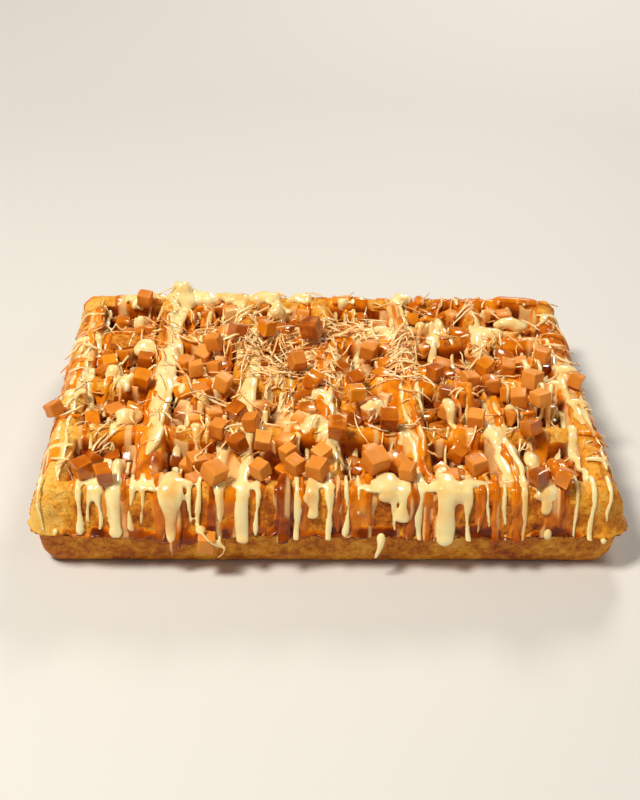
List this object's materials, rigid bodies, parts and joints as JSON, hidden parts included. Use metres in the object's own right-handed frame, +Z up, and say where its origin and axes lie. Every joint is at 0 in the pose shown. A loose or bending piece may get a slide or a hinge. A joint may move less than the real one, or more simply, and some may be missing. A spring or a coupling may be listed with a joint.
{
  "type": "topped waffle",
  "caption": "Thick rectangular waffle with rows of deep square pockets, a thin torn seam round its edge, sauce runs over the rim, shreds on top and loose fudge cubes resting on it",
  "frame": {"origin": "centre of the underside, on the surface the waffle lies on", "axes": "+X along the long side, +Y across it from the side facing the viewer to the far side, +Z up through the thickness"},
  "size_m": [0.192, 0.132, 0.0401],
  "materials": {
    "crust": "baked batter crust, glossy with caramel and cream sauce",
    "fudge_01": "matte fudge",
    "fudge_02": "matte fudge",
    "fudge_03": "matte fudge",
    "fudge_04": "matte fudge",
    "fudge_05": "matte fudge",
    "fudge_06": "matte fudge",
    "fudge_07": "matte fudge",
    "fudge_08": "matte fudge",
    "fudge_09": "matte fudge",
    "fudge_10": "matte fudge",
    "fudge_11": "matte fudge",
    "fudge_12": "matte fudge",
    "fudge_13": "matte fudge",
    "fudge_14": "matte fudge",
    "fudge_15": "matte fudge",
    "fudge_16": "matte fudge",
    "fudge_17": "matte fudge",
    "fudge_18": "matte fudge",
    "fudge_19": "matte fudge",
    "fudge_20": "matte fudge",
    "fudge_21": "matte fudge",
    "fudge_22": "matte fudge",
    "fudge_23": "matte fudge",
    "fudge_24": "matte fudge",
    "fudge_25": "matte fudge",
    "fudge_26": "matte fudge",
    "fudge_27": "matte fudge",
    "fudge_28": "matte fudge",
    "fudge_29": "matte fudge",
    "fudge_30": "matte fudge",
    "fudge_31": "matte fudge",
    "fudge_32": "matte fudge",
    "fudge_33": "matte fudge",
    "fudge_34": "matte fudge",
    "fudge_35": "matte fudge",
    "fudge_36": "matte fudge",
    "fudge_37": "matte fudge",
    "fudge_38": "matte fudge",
    "fudge_39": "matte fudge",
    "fudge_40": "matte fudge",
    "fudge_41": "matte fudge",
    "fudge_42": "matte fudge",
    "fudge_43": "matte fudge",
    "fudge_44": "matte fudge",
    "fudge_45": "matte fudge",
    "fudge_46": "matte fudge",
    "fudge_47": "matte fudge",
    "fudge_48": "matte fudge",
    "fudge_49": "matte fudge",
    "fudge_50": "matte fudge",
    "fudge_51": "matte fudge",
    "fudge_52": "matte fudge",
    "fudge_53": "matte fudge",
    "fudge_54": "matte fudge",
    "fudge_55": "matte fudge",
    "fudge_56": "matte fudge",
    "fudge_57": "matte fudge",
    "fudge_58": "matte fudge",
    "fudge_59": "matte fudge"
  },
  "bodies": {
    "root": {"waffle": "crust", "fudge_01": "fudge_01", "fudge_02": "fudge_02", "fudge_03": "fudge_03", "fudge_04": "fudge_04", "fudge_05": "fudge_05", "fudge_06": "fudge_06", "fudge_07": "fudge_07", "fudge_08": "fudge_08", "fudge_09": "fudge_09", "fudge_10": "fudge_10", "fudge_11": "fudge_11", "fudge_12": "fudge_12", "fudge_13": "fudge_13", "fudge_14": "fudge_14", "fudge_15": "fudge_15", "fudge_16": "fudge_16", "fudge_17": "fudge_17", "fudge_18": "fudge_18", "fudge_19": "fudge_19", "fudge_20": "fudge_20", "fudge_21": "fudge_21", "fudge_22": "fudge_22", "fudge_23": "fudge_23", "fudge_24": "fudge_24", "fudge_25": "fudge_25", "fudge_26": "fudge_26", "fudge_27": "fudge_27", "fudge_28": "fudge_28", "fudge_29": "fudge_29", "fudge_30": "fudge_30", "fudge_31": "fudge_31", "fudge_32": "fudge_32", "fudge_33": "fudge_33", "fudge_34": "fudge_34", "fudge_35": "fudge_35", "fudge_36": "fudge_36", "fudge_37": "fudge_37", "fudge_38": "fudge_38", "fudge_39": "fudge_39", "fudge_40": "fudge_40", "fudge_41": "fudge_41", "fudge_42": "fudge_42", "fudge_43": "fudge_43", "fudge_44": "fudge_44", "fudge_45": "fudge_45", "fudge_46": "fudge_46", "fudge_47": "fudge_47", "fudge_48": "fudge_48", "fudge_49": "fudge_49", "fudge_50": "fudge_50", "fudge_51": "fudge_51", "fudge_52": "fudge_52", "fudge_53": "fudge_53", "fudge_54": "fudge_54", "fudge_55": "fudge_55", "fudge_56": "fudge_56", "fudge_57": "fudge_57", "fudge_58": "fudge_58", "fudge_59": "fudge_59"}
  },
  "joints": []
}
